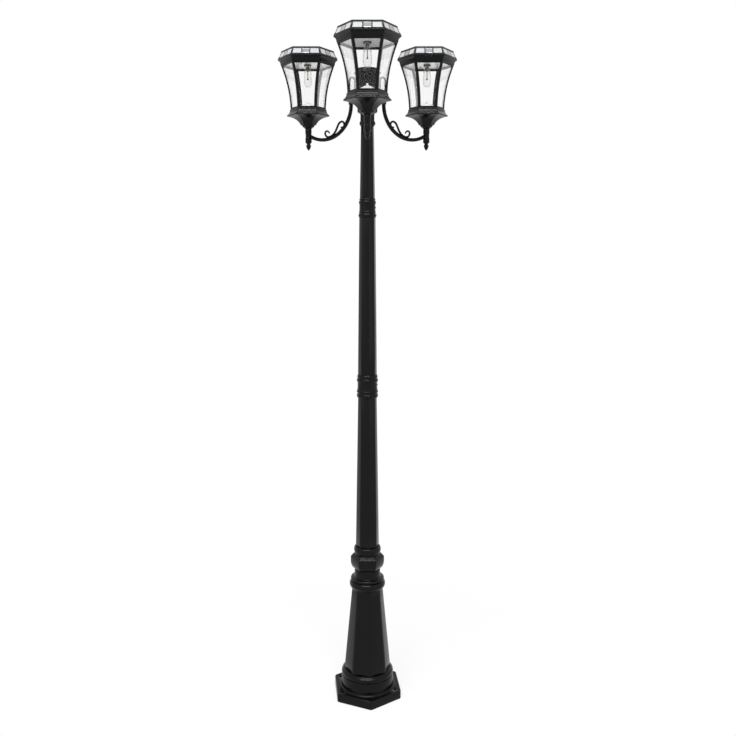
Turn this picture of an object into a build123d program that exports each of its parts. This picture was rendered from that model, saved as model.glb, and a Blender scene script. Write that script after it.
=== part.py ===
from build123d import *
import os
from math import cos, radians, tan

# Triple head lamp post: three six-sided lanterns on curved arms, on a sectional pole.
# Millimetres, +Z up. The origin is the middle of the base plate's underside, and the front
# lantern stands toward -Y. Lantern parts are drawn about the lantern's own axis, with height 0
# at the bottom of its glass, and are then set on the end of each arm.

# ---- driving dimensions -----------------------------------------------------------------

# Layout
ARM_REACH = 226.0                       # pole axis to lantern axis
LANTERN_SEAT = 2012.0                   # height of the bottom of the glass above the ground
ARM_HEADINGS = {"front": -90.0, "right": 30.0, "left": 150.0}
BASE_TURN = 6.0                         # base and pole are turned this far from square

# Base casting
PLATE_CORNER = 128.5                    # plate centre to corner
PLATE_THICK = 30.0
PLATE_RIM = 9.0                         # width of the raised border
PLATE_RECESS = 2.0
PLATE_CHAMFER = 3.0
BOLT_CIRCLE = 106.0                     # radius of the circle of ground bolt holes
BOLT_HOLE = 5.0                         # radius of each hole
DRUM_R = 91.0
DRUM_TOP = 74.0
FOOT_BEAD = (84.5, 21.0, 83.0, 91.0)    # height, thickness, root radius, crest radius
BELL_FOOT, BELL_FOOT_R = 94.0, 82.4
BELL_TOP, BELL_TOP_R = 388.0, 54.4
CASTING_WALL = 5.0

# Collar between the bell and the pole
COLLAR_TOP = 544.0
COLLAR_BORE = 28.0
COLLAR_NECK_R, COLLAR_NECK = 44.5, (434.0, 460.0)
COLLAR_DRUM_CORNER, COLLAR_DRUM = 58.4, (488.0, 504.0)
COLLAR_DRUM_TOP = 516.0
COLLAR_BEADS = (                        # height, thickness, root radius, crest radius
    (408.0, 27.0, 52.0, 61.9), (427.5, 12.0, 50.0, 57.5), (532.0, 23.0, 41.5, 46.5),
)

# Pole sections: bottom, top, bottom corner radius, top corner radius
LOWER_POLE = (544.0, 1068.0, 40.6, 31.8)
MIDDLE_POLE = (1143.0, 1662.0, 32.2, 27.0)
UPPER_POLE = (1719.0, 1947.0, 25.0, 21.0)
POLE_WALL = 2.5
POLE_SIDES = 8
POLE_ROUNDING = 0.22                    # corner fillet over corner radius
SPIGOT = 36.0                           # length of a spigot inside a pole section
SPIGOT_GAP = 0.2

# Couplings: sleeve radius, and each bead's height, thickness and crest radius
LOWER_SLEEVE = 33.2
LOWER_BEADS = ((1137.5, 11, 34.2), (1126, 11, 35.9), (1088, 9, 36), (1074, 12, 35.9))
UPPER_SLEEVE = 26.2
UPPER_BEADS = ((1708.3, 10, 27.9), (1677.5, 6, 27.4), (1667.5, 10, 29.4))
POLE_SCREWS = ((1955, 18.0), (1692, 20.0), (1110, 27.0))    # height and depth of each ring
POLE_SCREW_LENGTH, POLE_SCREW_R = 7.5, 2.5

# Hub
HUB_FLOOR, HUB_TOP = 2020.0, 2114.0
HUB_R = 38.5
HUB_WALL = 5.0
HUB_NECK_R = 22.4
HUB_NECK_TOP = 1985.0
HUB_RING = (1955.0, 13.0, 25.3)         # height, thickness, crest radius
HUB_COLLAR_R, HUB_COLLAR = 31.8, (1990.0, 2011.0)
HUB_BANDS = (2079.0, 2108.0)
HUB_BAND_THICK, HUB_BAND_PROUD = 6.0, 4.0
CAP_RISE = 8.0

# Arms
BAR_R = 6.5                             # corner radius of the six-sided arm bar
BAR_RISE = 60.3                         # radius at which the bar leaves the hub downward
FOOT_HEIGHT = 2038.0                    # height at which the bar meets the hub
FOOT_BEND = 14.0
SWEEP_R = 105.0                         # radius of the arm's large curve
SWEEP_HEIGHT = 2018.0                   # height of that curve's centre
SWEEP_TURN = 119.5                      # degrees that it turns through
SCROLL_R = 3.2                          # half thickness of the scroll bar
SCROLL = (                              # points in the arm's plane, joined by tangent arcs
    (99.5, 1950.0), (92.0, 1949.2), (86.4, 1956.0), (98.0, 1966.8), (109.6, 1957.5),
    (120.0, 1937.5), (145.0, 1921.0), (160.0, 1932.0), (151.0, 1940.2), (143.5, 1932.0),
)
SCROLL_START = (-1, -0.6)               # its heading at the first point
LOOP_R = 3.2                            # half thickness of the loop above the foot
LOOP_BEND, LOOP_TOP = 10.0, 2090.0
ARM_FOOT = (46.0, 22.0)                 # height and width of the foot's plate
ARM_FOOT_THICK = 7.0
ARM_BOLT_SPAN = 26.0                    # between the two bolts of a foot
ARM_BOLT_R = 2.5
ARM_BOLT_HEAD = (4.6, 3.5)              # corner radius and height
STEM_R, STEM_BAND_R = 9.7, 10.7

# Lantern body
SIDES = 6
APOTHEM = cos(radians(180 / SIDES))     # flat distance over corner distance
GLASS_TOP = 142.0
GLASS_FOOT_CORNER = 58.6
GLASS_MID = (65.6, 64.6)                # corner distance and height
GLASS_TOP_CORNER = 88.8
POST_LEG = 6.7                          # width of a corner post on each face
CAGE_WALL = 2.6
RING_HEIGHT = 6.5
PANE_THICK = 2.4
FLOOR_THICK = 2.0
SKIRT_CORNER, SKIRT_DROP = 70.8, 20.7
NECK_DROP = 60.0
STEM_FOOT = -106.6
FINIAL_TIP = -130.4

# Lantern roof
ROOF_GAP = 0.3                          # between the roof and the cage that it rests on
ROOF_RIM_CORNER, ROOF_RIM = 98.1, (155.0, 160.5)
FACET_FOOT_CORNER, FACET_FOOT = 95.2, 161.5
FACET_TOP_CORNER, FACET_TOP = 86.8, 181.5
ROOF_EDGE = 185.5
PANEL_THICK = 1.2
CEILING_THICK = 1.5

# Lamp
SOCKET_R = 12.0
THREAD_R = 6.9                          # screw cap of 14 mm nominal diameter
THREAD_GAP = 0.05
BULB_R = 13.8
BULB_NECK_R = 9.2
BULB_LENGTH = 71.0                      # below the ceiling
SWITCH_SEAT = (0.0, 40.0)               # place of the switch on the ceiling
SWITCH_TRAVEL = 5.0

FAR = 200.0                             # longer than any lantern part


# ---- shared forms -----------------------------------------------------------------------

def flat_face(*lines):
    """Face in the XZ plane, drawn as (distance from the axis, height)."""
    edges = [edge for line in lines for edge in line.edges()]
    return Plane.XZ * make_face(edges)


def outline(*points):
    """Closed straight-sided face in the XZ plane."""
    return flat_face(Polyline(*points, close=True))


def turned(face):
    return revolve(face, Axis.Z)


def six_sided(half):
    """Solid that is a hexagon at every height, with a flat toward +X.

    half is its outline: flat distance against height.
    """
    slab = extrude(half + mirror(half, about=Plane.YZ), FAR, both=True)
    return slab & Rot(0, 0, 60) * slab & Rot(0, 0, 120) * slab


def sector(low, high, leg):
    """One face's share of the lantern, short of the corners by leg, from low to high."""
    tip = 2 * leg * APOTHEM
    half_width = (FAR - tip) * tan(radians(30))
    wedge = make_face(Polyline((tip, 0), (FAR, -half_width), (FAR, half_width), close=True))
    return Pos(0, 0, low) * extrude(wedge, high - low)


def around_faces(piece):
    """Copies of a piece drawn at +X, one for each lantern face."""
    return [Rot(0, 0, 60 * side) * piece for side in range(SIDES)]


def around_corners(piece):
    return [Rot(0, 0, 30 + 60 * side) * piece for side in range(SIDES)]


def bead(height, thick, root, crest, bore):
    """Ring that bulges from the root radius to the crest radius."""
    low, high = height - thick / 2, height + thick / 2
    bulge = ThreePointArc((root, low), (crest, height), (root, high))
    back = Polyline((root, high), (bore, high), (bore, low), (root, low))
    return turned(flat_face(bulge, back))


def octagon(corner):
    """Rounded eight-sided section of the pole and the bell."""
    shape = Rot(0, 0, BASE_TURN - 90) * RegularPolygon(corner, POLE_SIDES)
    return fillet(shape.vertices(), corner * POLE_ROUNDING)


def rod(path, section):
    """Sweep a section along a path drawn in the XZ plane."""
    start = Plane(origin=path @ 0, x_dir=(0, 1, 0), z_dir=path % 0)
    return sweep(start * section, path)


def arcs_through(points, heading):
    """Arcs from point to point, each leaving along the heading at which the last one ends."""
    edges = []
    for start, end in zip(points, points[1:]):
        arc = TangentArc(start, end, tangent=heading)
        heading = arc % 1
        edges.append(arc)
    return Plane.XZ * Wire(edges)


def grub_screw(depth, length, radius, socket=True):
    """Headless screw along +X from depth, or its plain hole where there is no key socket."""
    body = Rot(0, 90, 0) * Cylinder(radius, length, align=(Align.CENTER, Align.CENTER, Align.MIN))
    if socket:
        body -= Rot(0, 90, 0) * Pos(0, 0, length - 1.5) * extrude(RegularPolygon(radius * 0.5, 6), 2)
    return Pos(depth, 0, 0) * body


# ---- base and pole ----------------------------------------------------------------------

def base_casting():
    plate_shape = Rot(0, 0, BASE_TURN - 90) * RegularPolygon(PLATE_CORNER, SIDES)
    plate_shape = fillet(plate_shape.vertices(), 9)
    plate = extrude(plate_shape, PLATE_THICK)
    plate = chamfer(plate.faces().sort_by(Axis.Z)[-1].edges(), PLATE_CHAMFER)
    recess = Rot(0, 0, BASE_TURN - 90) * RegularPolygon(PLATE_CORNER - PLATE_RIM, SIDES)
    recess = fillet(recess.vertices(), 6)
    plate -= Pos(0, 0, PLATE_THICK - PLATE_RECESS) * extrude(recess, PLATE_RECESS)
    floor = PLATE_THICK - PLATE_RECESS
    foot = turned(flat_face(
        Polyline((DRUM_R, DRUM_TOP), (0, DRUM_TOP), (0, 0), (DRUM_R + 5, 0), (DRUM_R + 5, floor)),
        ThreePointArc((DRUM_R + 5, floor), (DRUM_R + 1.4, floor + 3.6), (DRUM_R, floor + 9)),
        Line((DRUM_R, floor + 9), (DRUM_R, DRUM_TOP)),
    ))
    lower_ring = bead(*FOOT_BEAD, 40)
    bell = loft([
        Pos(0, 0, BELL_FOOT) * octagon(BELL_FOOT_R),
        Pos(0, 0, BELL_TOP) * octagon(BELL_TOP_R),
    ], ruled=True)
    inside = turned(outline(
        (0, -1),
        (DRUM_R - CASTING_WALL - 4, -1),
        (DRUM_R - CASTING_WALL - 4, DRUM_TOP - 6),
        (BELL_FOOT_R * 0.9 - CASTING_WALL, BELL_FOOT),
        (BELL_TOP_R * 0.9 - CASTING_WALL, BELL_TOP + 1),
        (0, BELL_TOP + 1),
    ))
    casting = plate + foot + lower_ring + bell - inside
    for corner in range(SIDES):
        turn = Rot(0, 0, BASE_TURN - 90 + 60 * corner)
        casting -= turn * Pos(BOLT_CIRCLE, 0, 0) * Cylinder(BOLT_HOLE, 4 * PLATE_THICK)
    return casting


def base_collar():
    """Beads, neck, six-sided drum and top bead, with a spigot in the bell and one in the pole."""
    bore, waist = COLLAR_BORE, COLLAR_BEADS[2][2] + 0.5
    down = BELL_TOP_R * 0.9 - CASTING_WALL - SPIGOT_GAP - 0.5
    up = spigot_radius(LOWER_POLE, 0)
    shoulder = COLLAR_BEADS[0][2]
    neck_low, neck_high = COLLAR_NECK
    body = turned(outline(
        (COLLAR_NECK_R, COLLAR_DRUM_TOP - 2), (COLLAR_NECK_R, neck_low), (shoulder, neck_low - 1),
        (shoulder, BELL_TOP), (down, BELL_TOP), (down - 1.2, BELL_TOP - SPIGOT), (bore, BELL_TOP - SPIGOT),
        (bore, COLLAR_TOP + SPIGOT), (up - 1.2, COLLAR_TOP + SPIGOT), (up, COLLAR_TOP),
        (waist, COLLAR_TOP), (waist, COLLAR_DRUM_TOP - 2),
    ))
    flat = COLLAR_DRUM_CORNER * APOTHEM
    foot = (COLLAR_NECK_R * APOTHEM, neck_high)
    side_low, side_high = COLLAR_DRUM
    drum = six_sided(flat_face(
        ThreePointArc(foot, (foot[0] + 7, neck_high + 12.5), (flat, side_low)),
        Polyline((flat, side_low), (flat, side_high), (flat - 2, side_high + 3),
                 (flat - 7.3, COLLAR_DRUM_TOP), (0, COLLAR_DRUM_TOP), (0, neck_high), foot),
    ))
    drum = Rot(0, 0, 30) * drum - Pos(0, 0, side_low) * Cylinder(bore, 80)
    for ring in COLLAR_BEADS:
        body += bead(*ring, bore)
    return body + drum


def pole(section):
    """Tapered tube of eight rounded sides."""
    low, high, low_r, high_r = section
    skin = loft([Pos(0, 0, low) * octagon(low_r), Pos(0, 0, high) * octagon(high_r)], ruled=True)
    bore = turned(outline(
        (0, low), (bore_radius(section, 0), low), (bore_radius(section, 1), high), (0, high)))
    return skin - bore


def bore_radius(section, end):
    """Inside radius of a pole section at its bottom (0) or its top (1)."""
    return section[2 + end] * cos(radians(180 / POLE_SIDES)) - POLE_WALL


def spigot_radius(section, end):
    return bore_radius(section, end) - SPIGOT_GAP


def coupling(below, above, beads, sleeve, holes):
    """Sleeve between two pole sections, with its spigots, beads and holes for the screws."""
    low, high = below[1], above[0]
    down, up = spigot_radius(below, 1), spigot_radius(above, 0)
    bore = up - 6
    body = turned(outline(
        (bore, low - SPIGOT), (down - 1.2, low - SPIGOT), (down, low), (sleeve, low), (sleeve, high),
        (up, high), (up - 1.2, high + SPIGOT), (bore, high + SPIGOT),
    ))
    for height, thick, crest in beads:
        body += bead(height, thick, sleeve - 0.5, crest, bore)
    return body - holes


def pole_set_screws(socket=True):
    """Three grub screws, or their holes, at the hub ring and at each coupling."""
    screws = []
    for height, depth in POLE_SCREWS:
        for third in range(3):
            place = Pos(0, 0, height) * Rot(0, 0, 120 * third)
            screws.append(place * grub_screw(depth, POLE_SCREW_LENGTH, POLE_SCREW_R, socket))
    return screws


def hub(holes):
    """Hollow casting: spigot, ring, neck, collar and drum with three bands."""
    spigot = spigot_radius(UPPER_POLE, 1)
    bore = spigot - 4
    inner = HUB_R - HUB_WALL
    low = UPPER_POLE[1]
    body = turned(outline(
        (bore, low - SPIGOT), (spigot - 1, low - SPIGOT), (spigot, low), (HUB_NECK_R, low),
        (HUB_NECK_R, HUB_NECK_TOP), (HUB_COLLAR_R - 3, HUB_NECK_TOP + 2), (HUB_COLLAR_R, HUB_COLLAR[0]),
        (HUB_COLLAR_R, HUB_COLLAR[1]), (HUB_R, HUB_FLOOR), (HUB_R, HUB_TOP), (inner, HUB_TOP),
        (inner, HUB_FLOOR + 4), (bore, HUB_FLOOR - 4),
    ))
    height, thick, crest = HUB_RING
    body += bead(height, thick, HUB_NECK_R - 1, crest, bore)
    for height in HUB_BANDS:
        body += bead(height, HUB_BAND_THICK, HUB_R - 1, HUB_R + HUB_BAND_PROUD, inner)
    return body - holes


def hub_cap():
    """Lid with a rounded edge and a lip that fits inside the hub."""
    inner = HUB_R - HUB_WALL
    top, lip = HUB_TOP + CAP_RISE, HUB_TOP - 10
    bend = CAP_RISE * (1 - cos(radians(45)))
    return turned(flat_face(
        Line((0, top), (HUB_R - CAP_RISE, top)),
        ThreePointArc((HUB_R - CAP_RISE, top), (HUB_R - bend, top - bend), (HUB_R, HUB_TOP)),
        Polyline((HUB_R, HUB_TOP), (inner - SPIGOT_GAP, HUB_TOP), (inner - SPIGOT_GAP, lip), (inner - 4, lip),
                 (inner - 4, HUB_TOP + 3), (0, HUB_TOP + 3), (0, top)),
    ))


# ---- arms -------------------------------------------------------------------------------

def arm_bolt_places():
    """Places of one foot's bolts, as the bolt's own frame with +X outward."""
    return [Pos(HUB_R + ARM_FOOT_THICK, 0, FOOT_HEIGHT + side * ARM_BOLT_SPAN / 2) for side in (-1, 1)]


def arm_bolt():
    """Hexagon head bolt, its head's underside at the origin and its shank toward -X."""
    head_r, head_height = ARM_BOLT_HEAD
    head = extrude(RegularPolygon(head_r, 6), head_height)
    shank = Cylinder(ARM_BOLT_R, HUB_WALL + ARM_FOOT_THICK + 4, align=(Align.CENTER, Align.CENTER, Align.MAX))
    return Rot(0, 90, 0) * (head + shank)


def arm(bolt):
    """Arm drawn toward +X: foot, six-sided bar, loop, scroll and the stem under the lantern."""
    bar_path = Plane.XZ * Wire([
        Line((HUB_R - 1, FOOT_HEIGHT), (BAR_RISE - FOOT_BEND, FOOT_HEIGHT)),
        CenterArc((BAR_RISE - FOOT_BEND, FOOT_HEIGHT - FOOT_BEND), FOOT_BEND, 90, -90),
        Line((BAR_RISE, FOOT_HEIGHT - FOOT_BEND), (BAR_RISE, SWEEP_HEIGHT)),
        CenterArc((BAR_RISE + SWEEP_R, SWEEP_HEIGHT), SWEEP_R, 180, SWEEP_TURN),
    ])
    bar = rod(bar_path, RegularPolygon(BAR_R, 6))

    loop_out = BAR_RISE + BAR_R - 0.6
    loop_in = loop_out - 2 * LOOP_BEND
    loop_path = Plane.XZ * Wire([
        Line((loop_out, SWEEP_HEIGHT), (loop_out, LOOP_TOP)),
        CenterArc((loop_out - LOOP_BEND, LOOP_TOP), LOOP_BEND, 0, 180),
        Line((loop_in, LOOP_TOP), (loop_in, FOOT_HEIGHT + 20)),
    ])
    loop = rod(loop_path, Circle(LOOP_R))
    scroll = rod(arcs_through(SCROLL, heading=SCROLL_START), Circle(SCROLL_R))

    foot = Pos(HUB_R + 2, 0, FOOT_HEIGHT + 4) * Rot(0, 90, 0) * extrude(SlotOverall(*ARM_FOOT), 10, both=True)
    foot &= Pos(HUB_R + ARM_FOOT_THICK - 10, 0, FOOT_HEIGHT) * Box(20, 60, 60)
    for place in arm_bolt_places():
        foot -= place * bolt

    seat = LANTERN_SEAT
    stem = turned(outline(
        (0, seat + STEM_FOOT), (STEM_R, seat + STEM_FOOT), (STEM_BAND_R, seat - 103),
        (STEM_BAND_R, seat - 91), (STEM_R, seat - 89), (STEM_R, seat - 78), (STEM_BAND_R, seat - 76),
        (STEM_BAND_R, seat - 62.5), (STEM_R, seat - NECK_DROP), (STEM_R, seat - 28), (0, seat - 28),
    ))
    body = bar + loop + scroll + foot + Pos(ARM_REACH, 0, 0) * stem
    body -= Cylinder(HUB_R, 2 * HUB_TOP, align=(Align.CENTER, Align.CENTER, Align.MIN))
    return body


# ---- lantern body -----------------------------------------------------------------------

def glass_curve(inset):
    """The flared line of the lantern's faces, moved inward by inset."""
    return ThreePointArc(
        (GLASS_FOOT_CORNER * APOTHEM - inset, 0),
        (GLASS_MID[0] * APOTHEM - inset, GLASS_MID[1]),
        (GLASS_TOP_CORNER * APOTHEM - inset, GLASS_TOP),
    )


def glass_profile(inset):
    curve = glass_curve(inset)
    return flat_face(curve, Polyline(curve @ 1, (0, GLASS_TOP), (0, 0), curve @ 0))


def cage():
    """Six corner posts between a bottom ring and a top ring."""
    frame = six_sided(glass_profile(0)) - six_sided(glass_profile(CAGE_WALL))
    window = sector(RING_HEIGHT, GLASS_TOP - RING_HEIGHT, POST_LEG)
    for opening in around_faces(window):
        frame -= opening
    return frame


def glass_panes():
    """Six bowed panes behind the posts."""
    front, back = glass_curve(CAGE_WALL + 0.1), glass_curve(CAGE_WALL + 0.1 + PANE_THICK)
    ends = Line(front @ 0, back @ 0), Line(front @ 1, back @ 1)
    pane = extrude(flat_face(front, back, *ends), FAR / 2, both=True)
    pane &= sector(FLOOR_THICK, GLASS_TOP - 4, 3.5)
    return around_faces(pane)


def lamp_base(holes):
    """Skirt, hollowed under the floor, with a curved underside down to a round neck."""
    flat = SKIRT_CORNER * APOTHEM
    top = (GLASS_FOOT_CORNER + 2.5) * APOTHEM
    body = six_sided(flat_face(
        ThreePointArc((top, 0), (top + 2, -10.5), (flat, -SKIRT_DROP + 3)),
        Line((flat, -SKIRT_DROP + 3), (flat, -SKIRT_DROP)),
        ThreePointArc((flat, -SKIRT_DROP), (36.3, -31.4), (22.2, -49)),
        Polyline((22.2, -49), (0, -49), (0, 0), (top, 0)),
    ))
    body += turned(flat_face(
        Polyline((0, -48), (19.8, -48), (19.8, -51)),
        ThreePointArc((19.8, -51), (17.6, -56), (12.7, -57.3)),
        Polyline((12.7, -57.3), (12.7, -NECK_DROP), (0, -NECK_DROP), (0, -48)),
    ))
    hollow = six_sided(outline((0, 1), (43, 1), (43, -7.5), (28, -26), (0, -26)))
    bore = Pos(0, 0, -NECK_DROP - 1) * Cylinder(9.9, 60, align=(Align.CENTER, Align.CENTER, Align.MIN))
    return body - hollow - bore - holes


def lamp_set_screws(socket=True):
    """Three grub screws that hold the neck on the stem, or their holes."""
    screws = []
    for third in range(3):
        place = Pos(0, 0, -52.7) * Rot(0, 0, 60 + 120 * third)
        screws.append(place * grub_screw(9.9, 11, 2, socket))
    return screws


def finial():
    """Acorn under the stem."""
    top = STEM_FOOT
    return turned(flat_face(
        Polyline((0, top), (7.2, top), (7.2, top - 1.5), (5.4, top - 3), (5.4, top - 4.5), (8.2, top - 6.5)),
        ThreePointArc((8.2, top - 6.5), (6.6, top - 15), (2, FINIAL_TIP + 2)),
        CenterArc((0, FINIAL_TIP + 2), 2, 0, -90),
        Line((0, FINIAL_TIP), (0, top)),
    ))


def floor_reflector():
    """Floor plate with a low six-sided point and a small knob."""
    plate = (GLASS_FOOT_CORNER * APOTHEM - CAGE_WALL - 0.1)
    body = six_sided(outline((0, 0), (plate, 0), (plate, FLOOR_THICK), (42, FLOOR_THICK), (0, 24.5)))
    return body + Pos(0, 0, 24.5) * Sphere(3.3)


# ---- lantern roof -----------------------------------------------------------------------

def corner_nut(gap=0.0):
    """Cap nut on the rim at one corner, or the pocket that it stands in."""
    body = Cylinder(3.8 + gap, 7 + gap, align=(Align.CENTER, Align.CENTER, Align.MIN))
    return Pos(92.5, 0, ROOF_RIM[1] - 2) * body


def roof_nuts():
    nut = corner_nut()
    return around_corners(fillet(nut.faces().sort_by(Axis.Z)[-1].edges(), 2.5))


def facet_panel():
    """Sloping solar panel of the face at +X, flush with the roof."""
    foot, top = FACET_FOOT_CORNER * APOTHEM, FACET_TOP_CORNER * APOTHEM
    slope = (foot - top) / (FACET_TOP - FACET_FOOT)
    low, high = FACET_FOOT + 3, FACET_TOP - 2
    band = outline(
        (foot - slope * 3, low), (top + slope * 2, high),
        (top + slope * 2 - PANEL_THICK, high), (foot - slope * 3 - PANEL_THICK, low),
    )
    return extrude(band, FAR / 2, both=True) & sector(low, high, 5)


def top_panel():
    """Low six-sided cover panel of the roof."""
    edge = FACET_TOP_CORNER * APOTHEM - 5
    peak = ROOF_EDGE + 6
    return six_sided(outline((0, peak), (edge, ROOF_EDGE - 1), (edge, ROOF_EDGE - 3), (0, peak - 2)))


def roof_frame():
    """Coved rim, sloping facets and top border, open below for the ceiling."""
    foot = GLASS_TOP + ROOF_GAP
    rim = ROOF_RIM_CORNER * APOTHEM
    neck = (GLASS_TOP_CORNER + 0.5) * APOTHEM
    facet_foot, facet_top = FACET_FOOT_CORNER * APOTHEM, FACET_TOP_CORNER * APOTHEM
    outside = six_sided(flat_face(
        ThreePointArc((neck, foot), (neck + 2.2, foot + 8), (rim - 1, ROOF_RIM[0])),
        Polyline((rim - 1, ROOF_RIM[0]), (rim, ROOF_RIM[0] + 1), (rim, ROOF_RIM[1]),
                 (facet_foot, FACET_FOOT), (facet_top, FACET_TOP), (facet_top, ROOF_EDGE - 1),
                 (facet_top - 1, ROOF_EDGE), (0, ROOF_EDGE), (0, foot), (neck, foot)),
    ))
    inside = six_sided(outline(
        (0, foot), (neck - 5, foot), (neck - 5, foot + 5), (rim - 7, ROOF_RIM[0]), (rim - 7, FACET_FOOT + 1),
        (facet_top - 4.5, FACET_TOP - 3), (facet_top - 9, ROOF_EDGE - 3), (facet_top - 5, ROOF_EDGE - 3),
        (facet_top - 5, ROOF_EDGE), (0, ROOF_EDGE),
    ))
    frame = outside - inside
    for recess in around_faces(facet_panel()) + around_corners(corner_nut(0.5)):
        frame -= recess
    return frame


def ceiling_reflector():
    """Bright plate under the roof, with a hole for the socket and a slot for the switch."""
    flat = (GLASS_TOP_CORNER + 0.5) * APOTHEM - 5.1
    low = GLASS_TOP + ROOF_GAP
    plate = six_sided(outline((0, low), (flat, low), (flat, low + CEILING_THICK), (0, low + CEILING_THICK)))
    plate -= Pos(0, 0, low) * Cylinder(SOCKET_R, 10)
    slot = Box(SWITCH_TRAVEL + 5.6, 4.6, 10)
    return plate - Pos(SWITCH_SEAT[0] + SWITCH_TRAVEL / 2, SWITCH_SEAT[1], low) * slot


def socket():
    """Threaded lamp holder: shell above the ceiling and a scalloped crown below it."""
    low = GLASS_TOP + ROOF_GAP
    bore = THREAD_R + THREAD_GAP
    shell = turned(outline(
        (bore, low - 2), (SOCKET_R - 0.1, low - 2), (SOCKET_R - 0.1, low + CEILING_THICK + 0.05),
        (SOCKET_R + 3, low + CEILING_THICK + 0.05), (SOCKET_R + 3, low + 6), (10, low + 6), (10, low + 26),
        (0, low + 26), (0, low + 23.5), (bore, low + 23.5),
    ))
    crown = turned(outline(
        (BULB_NECK_R + 1, low - 4), (SOCKET_R, low - 5.5), (SOCKET_R, low), (bore, low - 2)))
    return shell + crown


def bulb_cap():
    """Screw cap of the bulb: collar, shell and the contact at its tip."""
    low = GLASS_TOP + ROOF_GAP
    return turned(outline(
        (0, low - 6), (8.6, low - 6), (8.6, low - 3.2), (THREAD_R, low - 2.4), (THREAD_R, low + 16),
        (4, low + 19), (4, low + 20.5), (0, low + 20.5),
    ))


def bulb_glass():
    """Clear hollow bulb, widest low down."""
    top = GLASS_TOP + ROOF_GAP - 6
    tip = GLASS_TOP - BULB_LENGTH
    wide = tip + BULB_R

    def skin(inset):
        neck = BULB_NECK_R - inset
        return (
            ThreePointArc((neck, top), (neck + 3.8, (top + wide) / 2), (BULB_R - inset, wide)),
            CenterArc((0, wide), BULB_R - inset, 0, -90),
            Polyline((0, tip + inset), (0, top), (neck, top)),
        )

    return turned(flat_face(*skin(0))) - turned(flat_face(*skin(1.2)))


def bulb_leds():
    """Light column inside the bulb: eight lit strips round a core, a thin stem and a bead."""
    top = GLASS_TOP + ROOF_GAP - 6
    core = turned(outline(
        (0, top), (5, top), (5, top - 14), (1.2, top - 16), (1.2, top - 38), (0, top - 38)))
    bead_end = Pos(0, 0, top - 39) * Sphere(2.8)
    strip = Pos(5.5, 0, top - 7.5) * Box(1.6, 2.2, 12)
    strips = [Rot(0, 0, 45 * turn) * strip for turn in range(8)]
    return core + bead_end + strips


def battery_pack():
    """Two round cells in a tray beside the socket, above the ceiling."""
    low = GLASS_TOP + ROOF_GAP + CEILING_THICK + 0.1
    tray = Pos(-38, 0, low) * Box(36, 60, 4, align=(Align.CENTER, Align.CENTER, Align.MIN))
    pieces = tray
    for side in (-1, 1):
        cell = Pos(-38 + side * 8.2, 0, low + 10) * Rot(90, 0, 0) * Cylinder(7.2, 50)
        end = Pos(-38, side * 28, low) * Box(34, 4, 16, align=(Align.CENTER, Align.CENTER, Align.MIN))
        pieces = pieces + cell + end
    return pieces


def switch():
    """Slide knob through the ceiling, at its off end."""
    low = GLASS_TOP + ROOF_GAP
    stalk = Pos(0, 0, low - 3) * Box(4, 4, 7, align=(Align.CENTER, Align.CENTER, Align.MIN))
    slider = Box(15, 8, 3, align=(Align.CENTER, Align.CENTER, Align.MIN))
    slider = Pos(0, 0, low + CEILING_THICK + 0.4) * slider
    return Pos(SWITCH_SEAT[0], SWITCH_SEAT[1], 0) * (stalk + slider)


# ---- assembly ---------------------------------------------------------------------------

def save(node, shape):
    """Write one node, whose shape is a solid or a group of separate solids."""
    pieces = shape if isinstance(shape, list) else [shape]
    solids = [solid for piece in pieces for solid in piece.solids()]
    export_step(solids[0] if len(solids) == 1 else Compound(children=solids), f"parts/{node}.step")


def main():
    os.makedirs("parts", exist_ok=True)

    holes = pole_set_screws(socket=False)
    save("base_casting", base_casting())
    save("base_collar", base_collar())
    save("lower_pole", pole(LOWER_POLE))
    save("lower_coupling", coupling(LOWER_POLE, MIDDLE_POLE, LOWER_BEADS, LOWER_SLEEVE, holes))
    save("middle_pole", pole(MIDDLE_POLE))
    save("upper_coupling", coupling(MIDDLE_POLE, UPPER_POLE, UPPER_BEADS, UPPER_SLEEVE, holes))
    save("upper_pole", pole(UPPER_POLE))

    bolt = arm_bolt()
    drawn_arm = arm(bolt)
    turns = {name: Rot(0, 0, heading) for name, heading in ARM_HEADINGS.items()}
    bolts = [turn * place * bolt for turn in turns.values() for place in arm_bolt_places()]
    save("hub", hub(holes + bolts))
    save("hub_cap", hub_cap())
    save("pole_set_screws", pole_set_screws())
    save("arm_bolts", bolts)

    grubs = lamp_set_screws()
    lantern = {
        "lamp_base": lamp_base(lamp_set_screws(socket=False)),
        "finial": finial(),
        "cage": cage(),
        "glass_panes": glass_panes(),
        "floor_reflector": floor_reflector(),
        "roof_frame": roof_frame(),
        "roof_nuts": roof_nuts(),
        "solar_panels": around_faces(facet_panel()) + [top_panel()],
        "ceiling_reflector": ceiling_reflector(),
        "socket": socket(),
        "battery_pack": battery_pack(),
        "switch": switch(),
        "bulb_cap": bulb_cap(),
        "bulb_glass": bulb_glass(),
        "bulb_leds": bulb_leds(),
    }
    all_grubs = []
    for name, turn in turns.items():
        save(f"arm_{name}", turn * drawn_arm)
        place = turn * Pos(ARM_REACH, 0, LANTERN_SEAT)
        all_grubs += [place * grub for grub in grubs]
        for node, shape in lantern.items():
            pieces = shape if isinstance(shape, list) else [shape]
            save(f"{node}_{name}", [place * piece for piece in pieces])
    save("lamp_set_screws", all_grubs)


main()
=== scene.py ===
from math import atan2, cos, hypot, pi, radians, sin

import bmesh
import bpy
from mathutils import Matrix


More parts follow.
